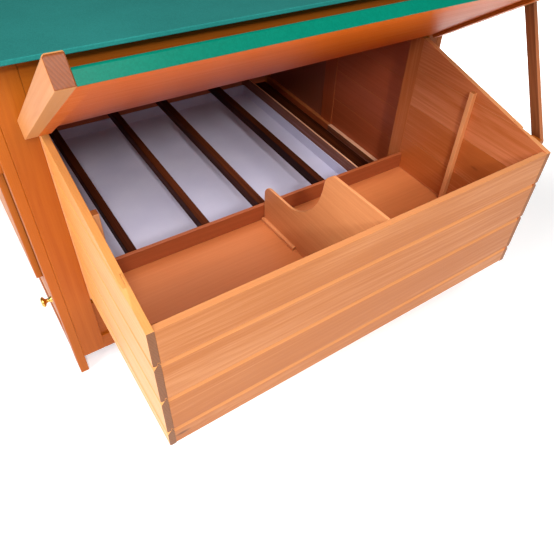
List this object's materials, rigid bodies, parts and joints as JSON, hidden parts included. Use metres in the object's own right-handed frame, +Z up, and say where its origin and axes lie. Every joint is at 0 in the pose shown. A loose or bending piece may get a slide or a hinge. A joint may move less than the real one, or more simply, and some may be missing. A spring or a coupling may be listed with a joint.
{
  "type": "rabbit hutch",
  "caption": "Raised timber rabbit hutch with a front nesting box under a propped felted lid, a scooped divider, slatted floor, side door and slide-out tray.",
  "frame": {"origin": "on the ground, at the centre of the whole assembly's footprint at rest (lid open)", "axes": "+Z up; the nesting box faces -Y; the side door and the tray knobs are on -X; +X to the right seen from the front"},
  "size_m": [1.066, 1.198, 0.901],
  "materials": {
    "stained_fir": "stained softwood, thin satin coat",
    "frame_fir": "darker stained softwood",
    "dark_fir": "dark stained softwood",
    "plywood": "stained plywood",
    "roof_felt": "mineral roofing felt, matt",
    "tray_sheet": "smooth moulded sheet",
    "brass": "polished",
    "zinc": "zinc plated"
  },
  "bodies": {
    "house": {"corner_posts": "frame_fir", "front_stiles": "frame_fir", "front_header": "frame_fir", "front_middle_rail": "frame_fir", "bottom_rails": "frame_fir", "left_middle_rail": "frame_fir", "top_rails": "frame_fir", "lower_boards": "dark_fir", "right_sill": "stained_fir", "right_wall_boards": "stained_fir", "right_wall_stile": "frame_fir", "right_wall_panel": "plywood", "back_wall_boards": "stained_fir", "bar_ledgers": "dark_fir", "floor_bars": "dark_fir", "tray_stop_board": "frame_fir", "tray_runners": "dark_fir", "bay_floor_board": "plywood", "nest_mount_battens": "frame_fir", "roof_panel": "plywood", "roof_felt": "roof_felt", "nest_front_board_1": "stained_fir", "nest_front_board_2": "stained_fir", "nest_front_board_3": "stained_fir", "nest_front_board_4": "stained_fir", "nest_left_boards": "stained_fir", "nest_right_boards": "stained_fir", "nest_floor": "plywood", "nest_floor_bearers": "frame_fir", "nest_back_lip": "stained_fir", "nest_side_battens": "stained_fir", "nest_corner_battens": "stained_fir", "nest_divider": "stained_fir", "nest_divider_batten": "stained_fir", "packing_blocks": "frame_fir", "door_hinge_fixed": "zinc", "lid_hinge_fixed": "zinc", "hinge_pins": "zinc", "frame_hinge_screws": "zinc", "lid_prop_screw": "zinc", "turn_button_screw": "zinc", "lid_prop_block": "frame_fir"},
    "tray": {"tray_pan": "tray_sheet", "tray_front": "stained_fir", "tray_knobs": "brass"},
    "door": {"door_boards": "stained_fir", "door_stiles": "frame_fir", "door_ledges": "frame_fir", "door_hinge_moving": "zinc", "door_hinge_screws": "zinc"},
    "button": {"turn_button": "frame_fir"},
    "lid": {"lid_panel": "plywood", "lid_battens": "frame_fir", "lid_felt": "roof_felt", "lid_side_left": "stained_fir", "lid_side_right": "stained_fir", "lid_hinge_moving": "zinc", "lid_hinge_screws": "zinc", "lid_prop_peg": "stained_fir"},
    "prop": {"lid_prop": "stained_fir"}
  },
  "joints": [
    {"name": "lid_hinge", "type": "hinge", "parent": "house", "child": "lid", "pos_m": [0.009, -0.215, 0.64728], "axis": [1, 0, 0], "range_deg": [0, 48.4]},
    {"name": "prop_swing", "type": "hinge", "parent": "house", "child": "prop", "pos_m": [0.4845, -0.543, 0.517], "axis": [1, 0, 0], "range_deg": [0, 207.31]},
    {"name": "tray_slide", "type": "slide", "parent": "house", "child": "tray", "axis": [-1, 0, 0], "range_m": [0, 0.62]},
    {"name": "door_hinge", "type": "hinge", "parent": "house", "child": "door", "pos_m": [-0.512, 0.514, 0.448], "axis": [0, 0, -1], "range_deg": [0, 110]},
    {"name": "button_turn", "type": "hinge", "parent": "house", "child": "button", "pos_m": [-0.512, -0.177, 0.57], "axis": [1, 0, 0], "range_deg": [-90, 0]}
  ],
  "couplings": [
    {"joint": "prop_swing", "follows": "lid_hinge", "ratio": 4.2831}
  ]
}
